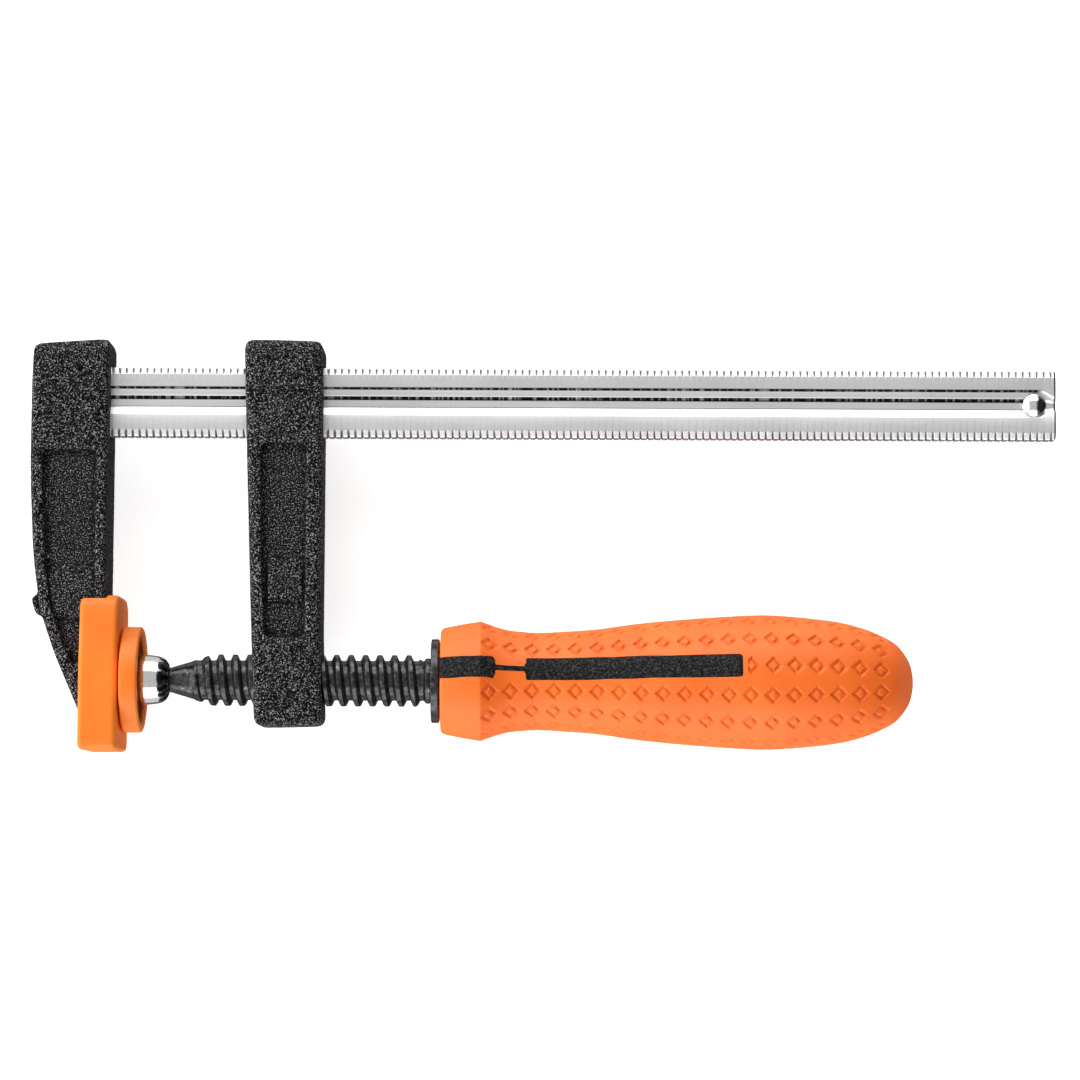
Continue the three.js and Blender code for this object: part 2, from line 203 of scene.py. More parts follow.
class Look:
    """A procedural material: a Principled shader and short ways to add the nodes that feed it.

    The colour and roughness it starts with are plain ones, for viewers that don't read the nodes.
    """

    def __init__(self, name, color, roughness, metallic=0.0):
        self.material = bpy.data.materials.new(name)
        self.material.use_nodes = True
        self.nodes = self.material.node_tree.nodes
        self.links = self.material.node_tree.links
        self.shader = self.nodes["Principled BSDF"]
        self.set("Base Color", (*color, 1))
        self.set("Roughness", roughness)
        self.set("Metallic", metallic)
        self.place = self.nodes.new("ShaderNodeTexCoord").outputs["Object"]

    def join(self, source, target):
        self.links.new(source, target)

    def noise(self, grain_mm, stretch=(1, 1, 1), detail=3.0, rough=0.55):
        """A noise about `grain_mm` across; a stretch over 1 makes it longer along that axis."""
        mapping = self.nodes.new("ShaderNodeMapping")
        mapping.inputs["Scale"].default_value = [1 / (grain_mm * MM * s) for s in stretch]
        self.join(self.place, mapping.inputs["Vector"])
        texture = self.nodes.new("ShaderNodeTexNoise")
        texture.inputs["Scale"].default_value = 1
        texture.inputs["Detail"].default_value = detail
        texture.inputs["Roughness"].default_value = rough
        self.join(mapping.outputs["Vector"], texture.inputs["Vector"])
        return texture.outputs["Fac"]

    def cells(self, grain_mm):
        """Small irregular grains, lowest in their middles."""
        mapping = self.nodes.new("ShaderNodeMapping")
        mapping.inputs["Scale"].default_value = [1 / (grain_mm * MM)] * 3
        self.join(self.place, mapping.inputs["Vector"])
        texture = self.nodes.new("ShaderNodeTexVoronoi")
        texture.feature = "SMOOTH_F1"
        texture.inputs["Scale"].default_value = 1
        texture.inputs["Smoothness"].default_value = 0.6
        self.join(mapping.outputs["Vector"], texture.inputs["Vector"])
        return texture.outputs["Distance"]

    def ramp(self, value, stops):
        """Colours by value; each stop is (position, red, green, blue)."""
        node = self.nodes.new("ShaderNodeValToRGB")
        elements = node.color_ramp.elements
        while len(elements) < len(stops):
            elements.new(0.5)
        for element, (position, *color) in zip(elements, stops):
            element.position = position
            element.color = (*color, 1)
        self.join(value, node.inputs["Fac"])
        return node.outputs["Color"]

    def span(self, value, low, high, start=0.0, end=1.0):
        """The value from `start` to `end` spread over low to high."""
        node = self.nodes.new("ShaderNodeMapRange")
        node.inputs["From Min"].default_value = start
        node.inputs["From Max"].default_value = end
        node.inputs["To Min"].default_value = low
        node.inputs["To Max"].default_value = high
        self.join(value, node.inputs["Value"])
        return node.outputs["Result"]

    def bump(self, height, depth_mm, strength=1.0):
        """Adds a bump under the ones added before it."""
        node = self.nodes.new("ShaderNodeBump")
        node.inputs["Distance"].default_value = depth_mm * MM
        node.inputs["Strength"].default_value = strength
        self.join(height, node.inputs["Height"])
        normal = self.shader.inputs["Normal"]
        if normal.is_linked:
            self.join(normal.links[0].from_socket, node.inputs["Normal"])
        self.join(node.outputs["Normal"], normal)

    def darken_with_painted_shade(self, color, amount):
        """The colour darkened by painted shade, by an amount from 0 to 1."""
        mix = self.nodes.new("ShaderNodeMix")
        mix.data_type = "RGBA"
        mix.inputs["B"].default_value = SHADE_BLACK
        self.join(color, mix.inputs["A"])
        self.join(amount, mix.inputs["Factor"])
        return mix.outputs["Result"]

    def painted_shade(self):
        """How much painted shade the mesh asks for, from 0 to 1."""
        attribute = self.nodes.new("ShaderNodeAttribute")
        attribute.attribute_name = "painted_shade"
        return attribute.outputs["Fac"]

    def pointiness(self):
        """Over a half on outward edges and under a half in hollows."""
        return self.nodes.new("ShaderNodeNewGeometry").outputs["Pointiness"]

    def color(self, source):
        self.join(source, self.shader.inputs["Base Color"])

    def roughness(self, source):
        self.join(source, self.shader.inputs["Roughness"])

    def set(self, socket, value):
        """Sets what is the same all over the surface on the shader itself."""
        self.shader.inputs[socket].default_value = value


def plated_steel():
    """Satin plated bar steel, drawn along its length, with painted shade where the mesh says so."""
    look = Look("plated_steel", (0.8, 0.8, 0.81), 0.4, 1.0)
    streaks = look.noise(0.12, (220, 1, 1), 4)
    clouds = look.noise(9, (2, 1, 1), 3)
    steel = look.ramp(clouds, [(0.3, 0.8, 0.8, 0.81), (0.7, 0.92, 0.92, 0.93)])
    # Painted shade darkens the steel in the groove, the notches and on the end.
    look.color(look.darken_with_painted_shade(steel, look.painted_shade()))
    look.roughness(look.span(streaks, 0.34, 0.46, 0.3, 0.7))
    look.bump(streaks, 0.006, 0.6)
    look.bump(look.noise(1.4, (5, 1, 1), 2), 0.012, 0.5)
    return look.material


def bright_plating():
    """Chrome-bright plating on turned steel, with painted shade where the mesh says so."""
    look = Look("bright_plating", (0.86, 0.86, 0.87), 0.09, 1.0)
    wear = look.noise(1.2, detail=4)
    steel = look.ramp(wear, [(0.3, 0.8, 0.8, 0.81), (0.7, 0.9, 0.9, 0.91)])
    # Painted shade darkens the cup's folds.
    look.color(look.darken_with_painted_shade(steel, look.painted_shade()))
    look.roughness(look.span(wear, 0.05, 0.2, 0.35, 0.75))
    look.bump(look.noise(0.9, detail=3), 0.02, 0.5)
    return look.material


def zinc_plating():
    """Dull, faintly violet zinc."""
    look = Look("zinc_plating", (0.5, 0.49, 0.56), 0.42, 1.0)
    clouds = look.noise(1.1, detail=4)
    look.color(look.ramp(clouds, [(0.3, 0.42, 0.41, 0.5), (0.7, 0.62, 0.61, 0.66)]))
    look.roughness(look.span(clouds, 0.32, 0.55, 0.3, 0.7))
    look.bump(look.noise(0.25, detail=2), 0.02, 0.6)
    return look.material


def black_casting():
    """Black painted casting with a fine grain whose bright specks are painted glints, and painted shade in
    its hollows.
    """
    look = Look("black_casting", (0.01, 0.01, 0.0105), 0.5)
    # The dark grain is real; its bright specks are painted glints.
    grain = look.ramp(look.noise(0.28, detail=1.5, rough=0.6), [
        (0.44, 0.001, 0.001, 0.001),
        (0.52, 0.007, 0.007, 0.0071),
        (0.59, 0.09, 0.09, 0.092),
        (0.67, 0.42, 0.42, 0.425),
    ])
    # Painted shade in the hollows, from the mesh's pointiness.
    hollow_shade = look.span(look.pointiness(), 0.95, 0.0, 0.482, 0.504)
    look.color(look.darken_with_painted_shade(grain, hollow_shade))
    look.roughness(look.span(look.noise(5, detail=2), 0.4, 0.55, 0.3, 0.7))
    look.bump(look.cells(0.5), 0.06, 1.0)
    look.bump(look.noise(0.2, detail=2, rough=0.6), 0.03, 1.0)
    look.set("Specular IOR Level", 0.03)
    return look.material


def black_oxide():
    """Blackened steel of the screw, with turning marks and bright rubbed spots."""
    look = Look("black_oxide", (0.05, 0.05, 0.052), 0.24, 0.75)
    wear = look.noise(0.9, detail=5, rough=0.6)
    look.color(look.ramp(wear, [
        (0.35, 0.02, 0.02, 0.022),
        (0.62, 0.08, 0.08, 0.083),
        (0.8, 0.4, 0.4, 0.41),
    ]))
    look.roughness(look.span(wear, 0.1, 0.26, 0.3, 0.7))
    look.bump(look.noise(0.1, (1, 12, 12), 3), 0.008, 0.6)
    look.bump(look.noise(0.5, detail=3), 0.015, 0.6)
    return look.material


def orange_plastic(name, green):
    """Satin orange moulded plastic, yellower with more green."""
    look = Look(name, (0.96, green, 0.015), 0.42)
    clouds = look.noise(14, detail=2)
    look.color(look.ramp(clouds, [(0.3, 0.93, green - 0.02, 0.013), (0.7, 0.98, green + 0.02, 0.021)]))
    mottle = look.noise(0.8, detail=4)
    look.roughness(look.span(mottle, 0.36, 0.5, 0.3, 0.7))
    look.bump(look.noise(0.22, detail=3), 0.012, 0.6)
    look.bump(look.noise(2.2, detail=2), 0.02, 0.4)
    look.set("Specular IOR Level", 0.38)
    look.set("Subsurface Weight", 0.12)
    look.set("Subsurface Radius", (0.0012, 0.0005, 0.0002))
    look.set("Subsurface Scale", 1.0)
    return look.material


def black_soft_plastic():
    """Matt black inlay with a fine spark-eroded grain."""
    look = Look("black_soft_plastic", (0.016, 0.016, 0.016), 0.6)
    look.color(look.ramp(look.noise(0.42, detail=2), [
        (0.38, 0.002, 0.002, 0.002),
        (0.5, 0.008, 0.008, 0.008),
        (0.62, 0.045, 0.044, 0.044),
    ]))
    look.roughness(look.span(look.noise(0.3), 0.5, 0.7, 0.3, 0.7))
    look.bump(look.cells(0.34), 0.03, 0.9)
    look.bump(look.noise(0.15, detail=3), 0.012, 0.8)
    look.set("Specular IOR Level", 0.14)
    return look.material


PLATED = plated_steel()
BRIGHT = bright_plating()
ZINC = zinc_plating()
CASTING = black_casting()
OXIDE = black_oxide()
GRIP_ORANGE = orange_plastic("grip_orange", 0.168)
PAD_ORANGE = orange_plastic("pad_orange", 0.22)
SOFT = black_soft_plastic()

# ---------------------------------------------------------------- the bar
TOOTH_PITCH = 1.45
TOOTH_GAP = 0.5
TOOTH_DEPTH = 0.3
TOOTH_DEPTH_IN_FACE = 0.6  # of the depth that the teeth have across the bar
CHAMFER = 1.45
CHAMFER_DEPTH = 0.7
GROOVE_REACH = 3.4  # from the bar's middle to clear of the groove
GROOVE_PINCH = 0.45  # how much narrower the groove is at the bar's end
PINCH_RUN = 3.2
END_EASE = 0.3
BAR_STEP = TOOTH_PITCH / 12
# Out from the bar's middle: distance across the bar, depth under the face and how much painted shade
GROOVE_STEPPED = [
    (0.5, 1.0, 0), (0.62, 0.995, 1), (1.0, 0.92, 1), (1.3, 0.62, 1), (1.4, 0.55, 0), (1.6, 0.52, 0),
    (2.58, 0.34, 0), (2.7, 0.3, 1), (2.95, 0.1, 1), (3.14, 0.02, 1), (3.27, 0, 0),
]
GROOVE_PLAIN = [
    (0.78, 1.0, 0), (0.88, 1.0, 0.75), (1.0, 0.98, 0.75), (1.1, 0.93, 0), (2.5, 0.09, 0), (2.75, 0, 0),
]
# Painted shade on the chamfers, between the teeth and on the sawn end.
EDGE_PAINTED_SHADE = 0.4
NOTCH_PAINTED_SHADE = 0.78
NOTCH_PAINTED_SHADE_HALF = 0.22
END_PAINTED_SHADE = 0.85
RAGGED_PER_MM = 2.1
RAGGED_SHARE = 0.3  # the most that the painted shade thins out along the bar


def bar_section():
    """The bar's section as [y, z, bite, painted shade], where bite is how far the edge teeth cut there."""
    edge = BAR_FACE - CHAMFER_DEPTH
    brow = BAR_HALF - CHAMFER
    side = [
        (BAR_HALF, 0.0, 0.5, 0),
        (BAR_HALF, 0.75 * edge, 0.8, 0),
        (BAR_HALF - 0.02, edge - 0.06, 1, 0),
        (BAR_HALF - 0.08, edge + 0.03, 1, 0),
    ]
    for t in (0.2, 0.45, 0.7, 0.9):
        side.append((BAR_HALF - CHAMFER * t, edge + CHAMFER_DEPTH * t, 1 - 0.7 * t, EDGE_PAINTED_SHADE))
    side += [(brow, BAR_FACE, 0.2, 0), (brow - 0.15, BAR_FACE, 0, 0)]
    upper = side + [(y, BAR_FACE - depth, 0, painted_shade) for y, depth, painted_shade in reversed(GROOVE_STEPPED)]
    lower = [(-y, BAR_FACE - depth, 0, painted_shade) for y, depth, painted_shade in GROOVE_PLAIN]
    lower += [(-y, z, bite, painted_shade) for y, z, bite, painted_shade in reversed(side[1:])]
    face = upper + lower
    return np.asarray(face + [(-y, -z, bite, painted_shade) for y, z, bite, painted_shade in face], float)


def from_notch(x):
    """How far each x is from the middle of its nearest notch."""
    return np.abs((x / TOOTH_PITCH) % 1 - 0.5) * TOOTH_PITCH


def bar_skin(x, section):
    """The section at each x, cut by the teeth and eased at the bar's end."""
    across, height, bite, _ = section.T
    notch = 1 - smoothstep(0.0, TOOTH_GAP / 2, from_notch(x))
    inward = TOOTH_DEPTH * notch[:, None] * bite[None, :]
    eased = np.zeros((len(x), 1))
    eased[-2:, 0] = 0.3 * END_EASE, END_EASE
    pinch = 1 - GROOVE_PINCH * smoothstep(BAR_END - PINCH_RUN, BAR_END, x)[:, None]
    outer = across * (1 - eased / BAR_HALF) - np.sign(across) * inward
    y = np.where(np.abs(across) < GROOVE_REACH, across * pinch, outer)
    z = height * (1 - eased / BAR_FACE) - np.sign(height) * inward * TOOTH_DEPTH_IN_FACE
    return np.stack([np.broadcast_to(x[:, None], y.shape), y + BAR_MIDDLE, z], -1)


def bar_painted_shade(x, section):
    """Painted shade along the groove's corners and chamfers, between the teeth and on the sawn end."""
    across, _, bite, painted_shade = section.T
    before_end = 1 - smoothstep(BAR_END - 4, BAR_END - 2, x)[:, None]
    shade_paint = np.where(np.abs(across) < GROOVE_REACH, painted_shade * before_end, painted_shade)
    ragged = np.array([noise.noise((along * RAGGED_PER_MM, 0.3, 0.7)) for along in x])
    shade_paint = shade_paint * (1 - RAGGED_SHARE * np.clip(ragged, 0, 1))[:, None]
    between_teeth = (1 - smoothstep(0.02, NOTCH_PAINTED_SHADE_HALF, from_notch(x)))[:, None] * (bite > 0.15)
    shade_paint = np.maximum(shade_paint, NOTCH_PAINTED_SHADE * between_teeth)
    return np.maximum(shade_paint, END_PAINTED_SHADE * (x >= BAR_END - END_EASE)[:, None])


def bar_rail():
    """The bar, its section carried along X."""
    section = bar_section()
    x = np.arange(BAR_START, BAR_END - END_EASE, BAR_STEP)
    x = np.append(x, [BAR_END - END_EASE, BAR_END - END_EASE / 2, BAR_END])
    points, faces = swept(bar_skin(x, section))
    # Painted shade in the groove's corners, on the chamfers, between the teeth and on the end.
    shade_paint = bar_painted_shade(x, section)
    add_piece("bar_rail", points, faces, PLATED, "clamp_frame", "plated_steel", "bar", crease=50, painted_shade=shade_paint)


bar_rail()


# ---------------------------------------------------------------- the stop pin
STOP_EDGE_LEAN = 55  # degrees that the dome's skin leans over at its rim


def stop_dome():
    """A pin through the bar whose two ends are shallow domes."""
    low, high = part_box("stop_pin")
    radius = (high.x - low.x) / 2 / MM
    top = drawn(high).z
    centre = drawn((low + high) / 2)
    lean = np.radians(np.linspace(STOP_EDGE_LEAN, 0.5, 14))
    ball = radius / math.sin(lean[0])
    dome = np.stack([ball * np.sin(lean), top - ball * (1 - np.cos(lean))], 1)
    profile = np.vstack([dome[::-1] * (1, -1), dome])
    along_x, across_y, across_z = np.moveaxis(turned_rows(profile[:, 1], profile[:, 0], 64), -1, 0)
    points, faces = swept(np.stack([across_y, across_z, along_x], -1))
    points = points + np.array([centre.x, centre.y, 0])
    add_piece("stop_dome", points, faces, BRIGHT, "clamp_frame", "plated_steel", "stop_pin")


stop_dome()


# ---------------------------------------------------------------- castings and the pad cap
# How a skin is made from its CAD node; `smoothing` is a number of passes, the rest millimetres
CAST_SKIN = {"voxel": 0.22, "smoothing": 9, "grain": 0.5, "grain_depth": 0.05}
MOULDED_SKIN = {"voxel": 0.22, "smoothing": 3, "grain": 3.0, "grain_depth": 0.01}
GRAIN_INSET = 1.0  # grain depths that the skin is sunk, so that its peaks stay inside the CAD
SMOOTH_ALL_OVER = 180  # degrees, so no edge is drawn sharp


def softened(node, name, skin):
    """A copy of a CAD node with its edges melted round and a fine grain on its skin."""
    source = bpy.data.objects.new(name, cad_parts[node].data.copy())
    SCENE.collection.objects.link(source)
    remesh = source.modifiers.new("skin", "REMESH")
    remesh.mode = "VOXEL"
    remesh.voxel_size = skin["voxel"] * MM
    melt = source.modifiers.new("melt", "SMOOTH")
    melt.factor = 0.5
    melt.iterations = skin["smoothing"]
    depsgraph = bpy.context.evaluated_depsgraph_get()
    mesh = bpy.data.meshes.new_from_object(source.evaluated_get(depsgraph))
    bpy.data.objects.remove(source)
    normals = [vertex.normal.copy() for vertex in mesh.vertices]
    for vertex, normal in zip(mesh.vertices, normals):
        place = vertex.co / (skin["grain"] * MM)
        rise = noise.noise(place) + 0.5 * noise.noise(place * 2.3)
        vertex.co += normal * (rise - GRAIN_INSET) * skin["grain_depth"] * MM
    mesh.name = name
    return mesh


def fixed_jaw():
    """The casting set on the bar's end."""
    name = "fixed_jaw_casting"
    mesh = softened("fixed_jaw", name, CAST_SKIN)
    place_piece(name, mesh, CASTING, "clamp_frame", "fixed_jaw", SMOOTH_ALL_OVER)


def sliding_arm():
    """The casting that slides on the bar and carries the spindle."""
    name = "sliding_arm_casting"
    mesh = softened("sliding_arm", name, CAST_SKIN)
    place_piece(name, mesh, CASTING, "sliding_arm", "sliding_arm", SMOOTH_ALL_OVER)


def fixed_pad():
    """The plastic cap slipped on the fixed jaw's foot."""
    name = "fixed_pad_shell"
    mesh = softened("fixed_pad_cap", name, MOULDED_SKIN)
    place_piece(name, mesh, PAD_ORANGE, "clamp_frame", "fixed_pad_cap", SMOOTH_ALL_OVER)


fixed_jaw()
sliding_arm()
fixed_pad()


# ---------------------------------------------------------------- the swivel pad
LIP_R = 9.05
SEAT_R = 10.05
SEAT_BACK = 3.65
CAP_FLOOR = 0.9
CAP_EASE = 0.55


def swivel_pad():
    """The cap: a plate with a rim whose lip holds the pressure disc in its seat."""
    low, high = (drawn(corner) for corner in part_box("swivel_pad_cap"))
    outer = (high.y - low.y) / 2
    outline = rounded([
        (low.x, AXIS_GAP),
        (low.x, outer),
        (high.x, outer),
        (high.x, LIP_R),
        (SEAT_BACK, LIP_R),
        (SEAT_BACK, SEAT_R),
        (low.x + CAP_FLOOR, SEAT_R),
        (low.x + CAP_FLOOR, AXIS_GAP),
    ], CAP_EASE)
    points, faces = turned(outline)
    add_piece("swivel_pad_shell", points, faces, PAD_ORANGE, "swivel_pad", "orange_plastic", "swivel_pad_cap")


DISC_STEP = 0.12
DISC_STEP_R = 6.6
DISC_EASE = 0.2


def pressure_plate():
    """The zinc disc, with a low step where the cup stands on it."""
    low, high = (drawn(corner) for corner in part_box("pressure_disc"))
    outer = (high.y - low.y) / 2
    outline = rounded([
        (low.x, AXIS_GAP),
        (low.x, outer),
        (high.x, outer),
        (high.x, DISC_STEP_R + 0.4),
        (high.x + DISC_STEP, DISC_STEP_R),
        (high.x + DISC_STEP, AXIS_GAP),
    ], DISC_EASE)
    add_piece("pressure_plate", *turned(outline), ZINC, "swivel_pad", "zinc", "pressure_disc")


CUP_SEGMENTS = 160
CUP_EASE = 0.5
CUP_FOLDS = 13
CUP_FOLD_DEPTH = 0.3
CRIMP_START = 8.2
CRIMP_FULL = 9.2
CRIMP_PAINTED_SHADE = 0.95


def crimped_cup():
    """The cup round the spindle's ball, its mouth pressed in over the ball in uneven folds, darkened with
    painted shade.
    """
    low, high = (drawn(corner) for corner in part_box("swivel_socket"))
    front, mouth, outer = low.x, high.x, (high.y - low.y) / 2
    outline = np.asarray(rounded([
        (front, 4.3),
        (front, outer),
        (6.4, outer),
        (8.5, 4.85),
        (9.5, 4.4),
        (mouth - 0.05, 3.3),
        (mouth, 2.9),
        (9.7, 3.1),
        (8.6, 4.0),
        (7.3, 4.3),
    ], CUP_EASE, closed=True))
    angle = np.arange(CUP_SEGMENTS) / CUP_SEGMENTS * TAU
    unevenness = 1.4 * np.sin(3 * angle) + 0.8 * np.sin(5 * angle + 1)
    folds = 0.5 + 0.5 * np.cos(CUP_FOLDS * angle + unevenness)
    crimp = smoothstep(CRIMP_START, CRIMP_FULL, outline[:, 0])[:, None] * folds
    points = turned_rows(outline[:, 0], outline[:, 1, None] - CUP_FOLD_DEPTH * crimp, CUP_SEGMENTS)
    faces = ring_faces(len(outline), CUP_SEGMENTS)
    # The folds carry painted shade.
    add_piece("crimped_cup", points.reshape(-1, 3), faces, BRIGHT, "swivel_pad", "plated_steel",
              "swivel_socket", painted_shade=CRIMP_PAINTED_SHADE * crimp)


swivel_pad()
pressure_plate()
crimped_cup()

# ---------------------------------------------------------------- the spindle
PITCH = 3.0
CREST_R = 5.35
ROOT_R = 4.12
CREST_HALF = 0.36
FLANK_END = 1.12
THREAD_START = 15.9
THREAD_END = 63.1
LEAD_IN = (THREAD_START - 1.2, THREAD_START + 4.2)
LEAD_OUT = (61.4, THREAD_END)
SCREW_SEGMENTS = 96
BALL_X = 7.55
BALL_R = 3.75
NECK_X = 10.6
SHANK_R = 4.7
TANG_R = 4.1
TANG_END = 69
# [x, radius] behind the ball: neck, cone, the screw's root, the shank and the tang in the handle
CORE = [
    (9.9, AXIS_GAP),
    (NECK_X, 2.55),
    (THREAD_START, ROOT_R),
    (THREAD_END, ROOT_R),
    (THREAD_END + 0.5, SHANK_R),
    (64.4, SHANK_R),
    (64.5, TANG_R),
    (TANG_END, TANG_R),
]


def core_radius(x):
    """The spindle without its thread."""
    ball = np.sqrt(np.clip(BALL_R**2 - (x - BALL_X) ** 2, AXIS_GAP**2, None))
    return np.maximum(ball * (x < NECK_X), np.interp(x, *np.transpose(CORE)))


def thread_height(x, angle):
    """How far the thread stands at each x and angle, from 0 at the root to 1 on the crest."""
    phase = (x[:, None] / PITCH - angle[None, :] / TAU) % 1
    distance = np.abs(np.where(phase > 0.5, phase - 1, phase)) * PITCH
    flank = 1 - smoothstep(CREST_HALF, FLANK_END, distance)
    grown = smoothstep(*LEAD_IN, x) * (1 - smoothstep(*LEAD_OUT, x))
    return flank * grown[:, None]


def screw():
    """The whole spindle, with stations closest together along its thread."""
    x = np.concatenate([
        np.arange(BALL_X - BALL_R, LEAD_IN[0], 0.2),
        np.arange(LEAD_IN[0], THREAD_END, 0.09),
        np.arange(THREAD_END, TANG_END, 0.1),
    ])
    angle = np.arange(SCREW_SEGMENTS) / SCREW_SEGMENTS * TAU
    radius = core_radius(x)[:, None] + (CREST_R - ROOT_R) * thread_height(x, angle)
    rows = turned_rows(x, radius, SCREW_SEGMENTS)
    add_piece("screw", *swept(rows), OXIDE, "spindle", "black_steel", "spindle", crease=60)


COLLAR_BORE_R = 4.4
COLLAR_EASE = 0.35


def collar_ring():
    """The loose ring between the thread and the handle."""
    low, high = (drawn(corner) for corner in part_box("handle_collar"))
    outer = (high.y - low.y) / 2
    corners = [(low.x, COLLAR_BORE_R), (low.x, outer), (high.x, outer), (high.x, COLLAR_BORE_R)]
    outline = rounded(corners, COLLAR_EASE, closed=True)
    add_piece("collar_ring", *turned_ring(outline), OXIDE, "spindle_carriage", "black_steel", "handle_collar")


screw()
collar_ring()

# ---------------------------------------------------------------- the handle
# Where the skin passes, [x, radius]: up to the head's sharp rim, and from it to the far end
HANDLE_HEAD = [(66.7, 10.3), (66.95, 10.75), (67.6, 11.05), (71, 11.75), (74.4, 12.3), (75.0, 12.38)]
HANDLE_GRIP = [
    (75.0, 12.38), (75.6, 12.15), (76.7, 11.75), (78.8, 11.05), (81.3, 10.5), (86.3, 10.1), (91.3, 10.3),
    (98.8, 10.85), (106.3, 11.9), (113.8, 12.7), (121.3, 13.3), (128.8, 13.78), (134.5, 13.93),
    (141.3, 13.5), (148.8, 12.6), (153.8, 11.4), (157.9, 9.8), (161.1, 7.9), (163.4, 5.0),
    (164.3, 2.4), (164.55, 0.05),
]
HEAD_STEP = 0.25
SKIN_STEP = 0.3
SKIN_SEGMENTS = 288
HANDLE_BORE = (2, 4.6)  # depth and radius of the hole that the tang goes into
INLAY_ANGLES = (12, 192)  # degrees from +Z towards +Y
MARK_ROWS = 14
MARK_PITCH = 4.46
MARK_FIRST = 76.9
MARK_COLUMNS = 19
MARK_HALF = 1.8
MARK_DEPTH = 0.42
MARK_DRAFT = 0.65  # share of the depth that the marks lose towards the mould's parting line
BAND_END = 77.9
PLATE_START = 84.4
PLATE_END = 128.6
PLATE_CORNER = 0.6
BAND_HALF = 2.35
LINK_HALF = 0.6
PLATE_HALF = 2.45
INLAY_EASE = 0.25
INLAY_RIM = 0.35
INLAY_SINK = 0.8
INLAY_LIFT = 0.05  # off the bottom of its bed
INLAY_STAND = 0.16
INLAY_RIM_SINK = 0.12
INLAY_COLUMNS = 25

HANDLE_CURVE = np.vstack([
    smooth_curve(HANDLE_HEAD, HEAD_STEP),
    smooth_curve(HANDLE_GRIP, SKIN_STEP)[1:],
])


def handle_radius(x):
    """The handle's skin before its marks and inlays."""
    return np.interp(x, HANDLE_CURVE[:, 0], HANDLE_CURVE[:, 1])


def inlay_half_width(x):
    """Half the inlay's width across the handle: a band round the head, a thin link and a plate."""
    to_link = smoothstep(BAND_END - INLAY_EASE, BAND_END + INLAY_EASE, x)
    to_plate = smoothstep(PLATE_START - INLAY_EASE, PLATE_START + INLAY_EASE, x)
    half = BAND_HALF + (LINK_HALF - BAND_HALF) * to_link + (PLATE_HALF - LINK_HALF) * to_plate
    into_corner = np.clip((x - (PLATE_END - PLATE_CORNER)) / PLATE_CORNER, 0, 1)
    return half - PLATE_CORNER * (1 - np.sqrt(1 - into_corner**2))


def across_from(degrees, angle, radius):
    """How far across the handle each angle is from a line `degrees` round from +Z."""
    turn = (angle - math.radians(90 - degrees) + math.pi) % TAU - math.pi
    return turn[None, :] * radius[:, None]


def lozenge_line(along, across):
    """1 on the outline of a lozenge, 0 inside it and outside it."""
    out = (np.abs(along) + np.abs(across)) / MARK_HALF
    return smoothstep(1.05, 0.92, out) * smoothstep(0.45, 0.58, out)


def grip_marks(x, angle, radius):
    """How deep the rows of lozenges are sunk; the rows that the inlays lie on start behind them."""
    column = (x - MARK_FIRST) / MARK_PITCH
    nearest = np.clip(np.round(column), 0, MARK_COLUMNS - 1)
    along = ((column - nearest) * MARK_PITCH)[:, None]
    depth = np.zeros((len(x), len(angle)))
    for row in range(MARK_ROWS):
        turn = 360 * row / MARK_ROWS
        line = lozenge_line(along, across_from(INLAY_ANGLES[0] + turn, angle, radius))
        draft = 1 - MARK_DRAFT + MARK_DRAFT * abs(math.cos(math.radians(turn)))
        if turn % 180 == 0:
            line = line * (x > PLATE_END + 1)[:, None]
        depth = np.maximum(depth, MARK_DEPTH * draft * line)
    return depth


def inlay_beds(x, angle, radius):
    """How deep the inlays' beds are sunk."""
    depth = np.zeros((len(x), len(angle)))
    half = inlay_half_width(x)[:, None] - 0.2
    for degrees in INLAY_ANGLES:
        past_side = np.abs(across_from(degrees, angle, radius)) - half
        bed = smoothstep(0.1, -0.2, past_side) * (x < PLATE_END - 0.2)[:, None]
        depth = np.maximum(depth, INLAY_SINK * bed)
    return depth


def grip():
    """The handle, with its marks and the inlays' beds sunk in its skin, and a bore in front."""
    x, radius = HANDLE_CURVE.T
    angle = np.arange(SKIN_SEGMENTS) / SKIN_SEGMENTS * TAU
    sunk = np.maximum(grip_marks(x, angle, radius), inlay_beds(x, angle, radius))
    skin = turned_rows(x, np.maximum(radius[:, None] - sunk, AXIS_GAP), SKIN_SEGMENTS)
    bore_depth, bore_radius = HANDLE_BORE
    bore_end = HANDLE_START + bore_depth
    bore = turned_rows([bore_end, bore_end, HANDLE_START], [0.05, bore_radius, bore_radius], SKIN_SEGMENTS)
    rows = np.concatenate([bore, skin])
    add_piece("grip", *swept(rows), GRIP_ORANGE, "spindle", "orange_plastic", "handle", crease=38)


def over_handle(x, turn, height):
    """Points at each x, `height` from the spindle's axis and `turn` round it."""
    along = np.broadcast_to(x[:, None], turn.shape)
    return np.stack([along, height * np.cos(turn), height * np.sin(turn)], -1)


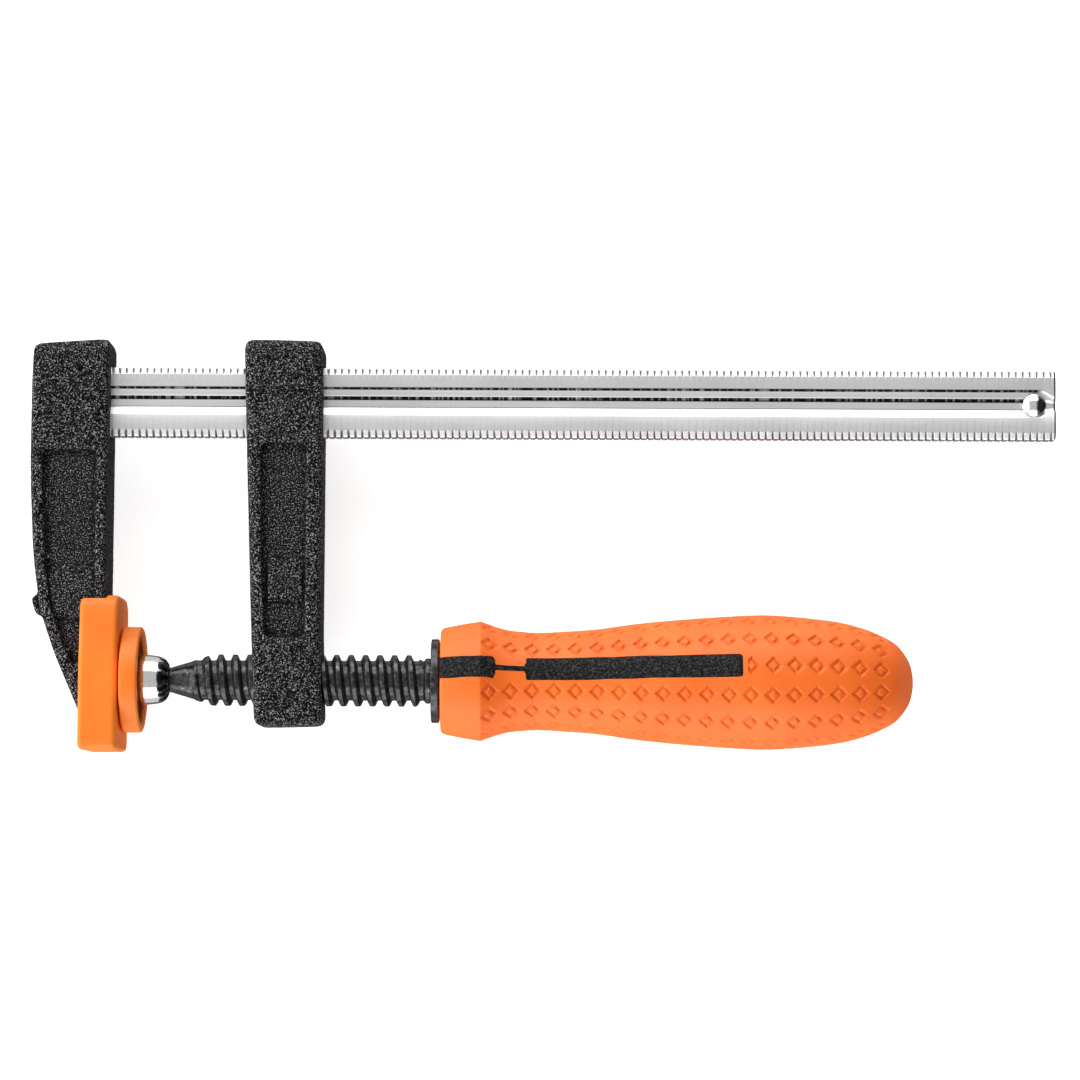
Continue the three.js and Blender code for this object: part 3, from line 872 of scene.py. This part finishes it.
def inlay(degrees, name, node):
    """A soft pad set in the handle's skin, with a crowned top and rounded rim."""
    x = np.concatenate([[HANDLE_START - 0.1], np.arange(HANDLE_START + 0.1, PLATE_END, 0.2), [PLATE_END]])
    half = np.maximum(inlay_half_width(x), 0.05)[:, None]
    radius = handle_radius(x)[:, None]
    side = np.linspace(-1, 1, INLAY_COLUMNS)[None, :]
    turn = math.radians(90 - degrees) + side * half / radius
    from_rim = (1 - np.abs(side)) * half / np.minimum(INLAY_RIM, half)
    crown = np.sqrt(np.clip(1 - (1 - np.clip(from_rim, 0, 1)) ** 2, 0, 1))
    crown = crown * smoothstep(0, 0.4, PLATE_END - x)[:, None]
    top = over_handle(x, turn, radius + INLAY_STAND * crown - INLAY_RIM_SINK)
    under = over_handle(x, turn[:, ::-1], radius - INLAY_SINK + INLAY_LIFT)
    rows = np.concatenate([top, under], 1)
    add_piece(name, *swept(rows), SOFT, "spindle", "black_soft_plastic", node, crease=70)


grip()
for number, degrees in enumerate(INLAY_ANGLES, 1):
    inlay(degrees, f"grip_inlay_{number}", f"handle_inlay_{number}")


# ---------------------------------------------------------------- floor, lights and camera
FLOOR_REACH = 6.0
FLOOR_GLOW = 0.6


def studio_floor():
    """A white floor that glossy surfaces don't see."""
    mesh = bpy.data.meshes.new("studio_floor")
    signs = [(-1, -1), (1, -1), (1, 1), (-1, 1)]
    mesh.from_pydata([(FLOOR_REACH * x, FLOOR_REACH * y, 0) for x, y in signs], [], [(0, 1, 2, 3)])
    floor = bpy.data.objects.new("studio_floor", mesh)
    SCENE.collection.objects.link(floor)
    floor.visible_glossy = False
    look = Look("studio_white", (0.92, 0.92, 0.92), 0.9)
    look.set("Specular IOR Level", 0.0)
    look.set("Emission Color", (1, 1, 1, 1))
    look.set("Emission Strength", FLOOR_GLOW)
    mesh.materials.append(look.material)


def softbox(name, location, size, power):
    """A rectangular light that faces the clamp; places and sizes in metres."""
    light = bpy.data.lights.new(name, "AREA")
    light.shape = "RECTANGLE"
    light.size, light.size_y = size
    light.energy = power
    lamp = bpy.data.objects.new(name, light)
    lamp.location = location
    lamp.rotation_euler = (-Vector(location)).to_track_quat("-Z", "Y").to_euler()
    SCENE.collection.objects.link(lamp)


OVERHEAD_LIGHT = 0.55
SCREEN_LIGHT = 2.7
LOW_LIGHT = 0.25
RIGHT_SHADE = 0.03


def surroundings():
    """White screens on both long sides and the left, dim overhead, dark on the right and below.

    Each span is over one part of the unit direction that is looked in.
    """
    world = bpy.data.worlds.new("studio")
    world.use_nodes = True
    SCENE.world = world
    nodes, links = world.node_tree.nodes, world.node_tree.links
    place = nodes.new("ShaderNodeTexCoord")
    split = nodes.new("ShaderNodeSeparateXYZ")
    links.new(place.outputs["Generated"], split.inputs["Vector"])

    def math_node(operation, first, second):
        node = nodes.new("ShaderNodeMath")
        node.operation = operation
        for source, target in zip((first, second), node.inputs):
            if isinstance(source, float):
                target.default_value = source
            else:
                links.new(source, target)
        return node.outputs["Value"]

    def span(value, start, end, low, high):
        node = nodes.new("ShaderNodeMapRange")
        node.interpolation_type = "SMOOTHSTEP"
        node.inputs["From Min"].default_value = start
        node.inputs["From Max"].default_value = end
        node.inputs["To Min"].default_value = low
        node.inputs["To Max"].default_value = high
        links.new(value, node.inputs["Value"])
        return node.outputs["Result"]

    sideways = math_node("ABSOLUTE", split.outputs["Y"], 0.0)
    leftwards = math_node("MULTIPLY", split.outputs["X"], -1.0)
    screens = span(math_node("MAXIMUM", sideways, leftwards), 0.6, 0.72, OVERHEAD_LIGHT, SCREEN_LIGHT)
    shade = span(split.outputs["X"], 0.2, 0.5, 1.0, RIGHT_SHADE)
    below = span(split.outputs["Z"], -0.2, 0.0, LOW_LIGHT, 1.0)
    light = math_node("MULTIPLY", math_node("MULTIPLY", screens, shade), below)
    links.new(light, nodes["Background"].inputs["Color"])


SENSOR_WIDTH = 36
VIEW_TARGET = Vector((87.1, 29.5, 0))
VIEW_FROM = Vector((87.1, -35, 690))
VIEW_WIDTH = 225  # millimetres across the picture at the target
VIEW_ROLL = 0.25  # degrees


def camera():
    """Looks down on the clamp from a little to the handle's side of it."""
    data = bpy.data.cameras.new("camera")
    data.sensor_width = SENSOR_WIDTH
    data.lens = SENSOR_WIDTH * (VIEW_FROM - VIEW_TARGET).length / VIEW_WIDTH
    data.clip_end = 20
    eye = bpy.data.objects.new("camera", data)
    eye.location = VIEW_FROM * MM + DATUM
    aim = (VIEW_TARGET - VIEW_FROM).to_track_quat("-Z", "Y")
    eye.rotation_euler = (aim @ Quaternion((0, 0, 1), math.radians(VIEW_ROLL))).to_euler()
    SCENE.collection.objects.link(eye)
    SCENE.camera = eye


studio_floor()
softbox("softbox_far", (0.0, 0.62, 0.42), (1.1, 0.5), 1.0)
surroundings()
camera()
SCENE.view_settings.view_transform = "Standard"
